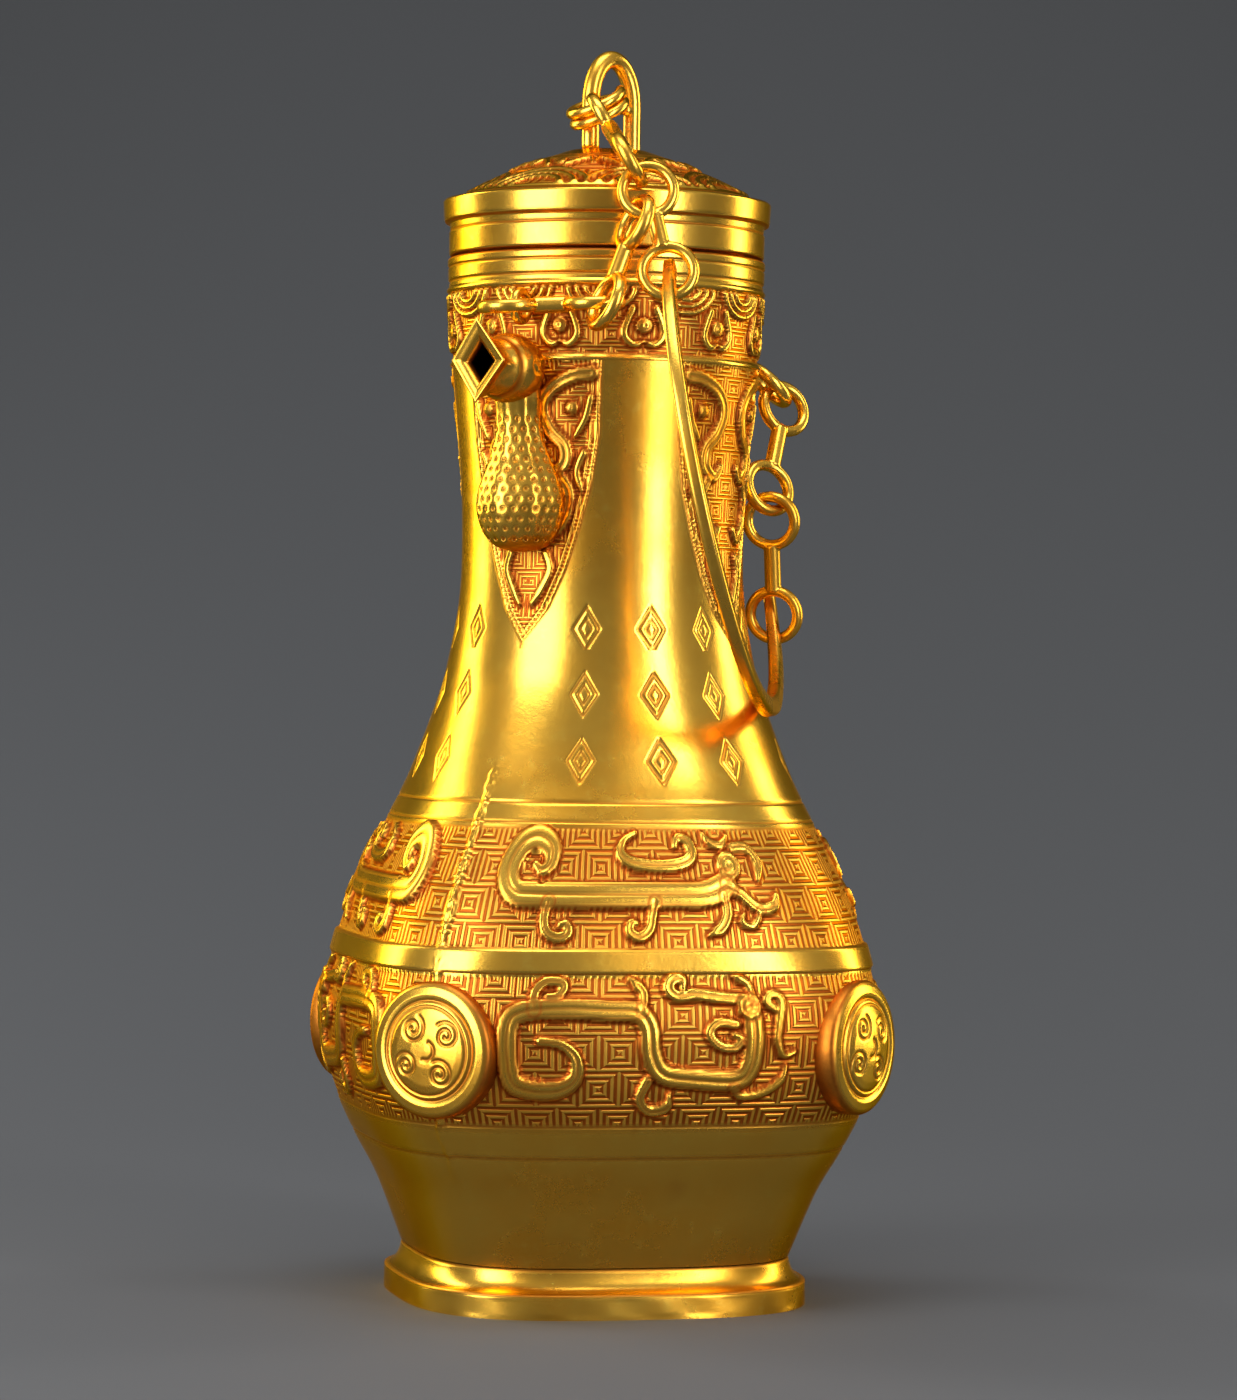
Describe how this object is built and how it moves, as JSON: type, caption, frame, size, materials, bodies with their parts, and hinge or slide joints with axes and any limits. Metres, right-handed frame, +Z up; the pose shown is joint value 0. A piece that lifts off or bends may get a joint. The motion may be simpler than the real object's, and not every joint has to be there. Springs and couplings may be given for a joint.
{
  "type": "gilt bronze chain bottle",
  "caption": "Tall gilt bronze bottle with a round neck, a rounded square belly with corner bosses, bird-head spouts, a lifting lid and a bow handle hung on linked chains.",
  "frame": {"origin": "middle of the foot ring's underside, on the table", "axes": "+Z up along the bottle; -Y towards the corner that carries the front spout; +X to the right of it; the belly's corners point along X and Y"},
  "size_m": [0.1878, 0.1878, 0.371],
  "materials": {
    "gilt_relief": "polished gilding over chased bronze, red-brown in the recesses",
    "gilt_plain": "plain polished gilding, rubbed on the edges",
    "inner_bronze": "dull bronze, not gilded"
  },
  "bodies": {
    "bottle": {"body_shell": "gilt_relief", "base_plate": "inner_bronze", "foot_ring": "gilt_relief", "corner_boss_1": "gilt_relief", "corner_boss_2": "gilt_relief", "corner_boss_3": "gilt_relief", "corner_boss_4": "gilt_relief", "front_spout": "gilt_relief", "rear_spout": "gilt_relief", "front_lug_eye": "gilt_plain", "rear_lug_eye": "gilt_plain"},
    "lid": {"lid_shell": "gilt_relief", "lid_loop": "gilt_plain"},
    "split_ring": {"lid_split_ring": "gilt_plain"},
    "lid_link": {"lid_link": "gilt_plain"},
    "front_link_1": {"front_link_1": "gilt_plain"},
    "front_link_2": {"front_link_2": "gilt_plain"},
    "front_link_3": {"front_link_3": "gilt_plain"},
    "bow": {"bow_handle": "gilt_plain"},
    "rear_link_1": {"rear_link_1": "gilt_plain"},
    "rear_link_2": {"rear_link_2": "gilt_plain"},
    "rear_link_3": {"rear_link_3": "gilt_plain"}
  },
  "joints": [
    {"name": "lid_lift", "type": "slide", "parent": "bottle", "child": "lid", "axis": [0, 0, 1], "range_m": [0, 0.0065]},
    {"name": "front_link_1_swing", "type": "hinge", "parent": "bottle", "child": "front_link_1", "pos_m": [0.00312, -0.05995, 0.2904], "axis": [0.3903, -0.9207, 0], "range_deg": [0, 11]},
    {"name": "rear_link_1_swing", "type": "hinge", "parent": "bottle", "child": "rear_link_1", "pos_m": [0.00447, 0.0574, 0.2862], "axis": [-0.1595, -0.9872, 0], "range_deg": [0, 11]},
    {"name": "split_ring_turn", "type": "hinge", "parent": "lid", "child": "split_ring", "pos_m": [0.00145, -0.00823, 0.3525], "axis": [-0.0499, -0.5586, 0.8279], "range_deg": [-30, 30]},
    {"name": "lid_link_twist", "type": "hinge", "parent": "lid", "child": "lid_link", "pos_m": [0.02051, -0.02927, 0.34068], "axis": [0.6203, -0.6804, -0.3902], "range_deg": [-8, 10]},
    {"name": "front_link_2_twist", "type": "hinge", "parent": "lid", "child": "front_link_2", "pos_m": [0.03509, -0.05052, 0.30269], "axis": [-0.1604, -0.351, -0.9225], "range_deg": [-10, 12]},
    {"name": "front_link_3_twist", "type": "hinge", "parent": "lid", "child": "front_link_3", "pos_m": [0.04304, -0.04321, 0.31202], "axis": [0.3304, -0.0701, -0.9412], "range_deg": [-6, 6]},
    {"name": "bow_swing", "type": "hinge", "parent": "lid", "child": "bow", "pos_m": [0.0472, -0.044, 0.3001], "axis": [0.0996, -0.6573, 0.747], "range_deg": [0, 3]},
    {"name": "rear_link_2_twist", "type": "hinge", "parent": "lid", "child": "rear_link_2", "pos_m": [0.03306, 0.04639, 0.25412], "axis": [0.1, -0.5001, -0.8602], "range_deg": [-2, 2]},
    {"name": "rear_link_3_twist", "type": "hinge", "parent": "lid", "child": "rear_link_3", "pos_m": [0.03504, 0.04172, 0.21756], "axis": [-0.0501, 0.1804, -0.9823], "range_deg": [-3, 1]}
  ],
  "couplings": [
    {"joint": "front_link_1_swing", "follows": "lid_lift", "rad_per_m": 27},
    {"joint": "rear_link_1_swing", "follows": "lid_lift", "rad_per_m": 27}
  ]
}
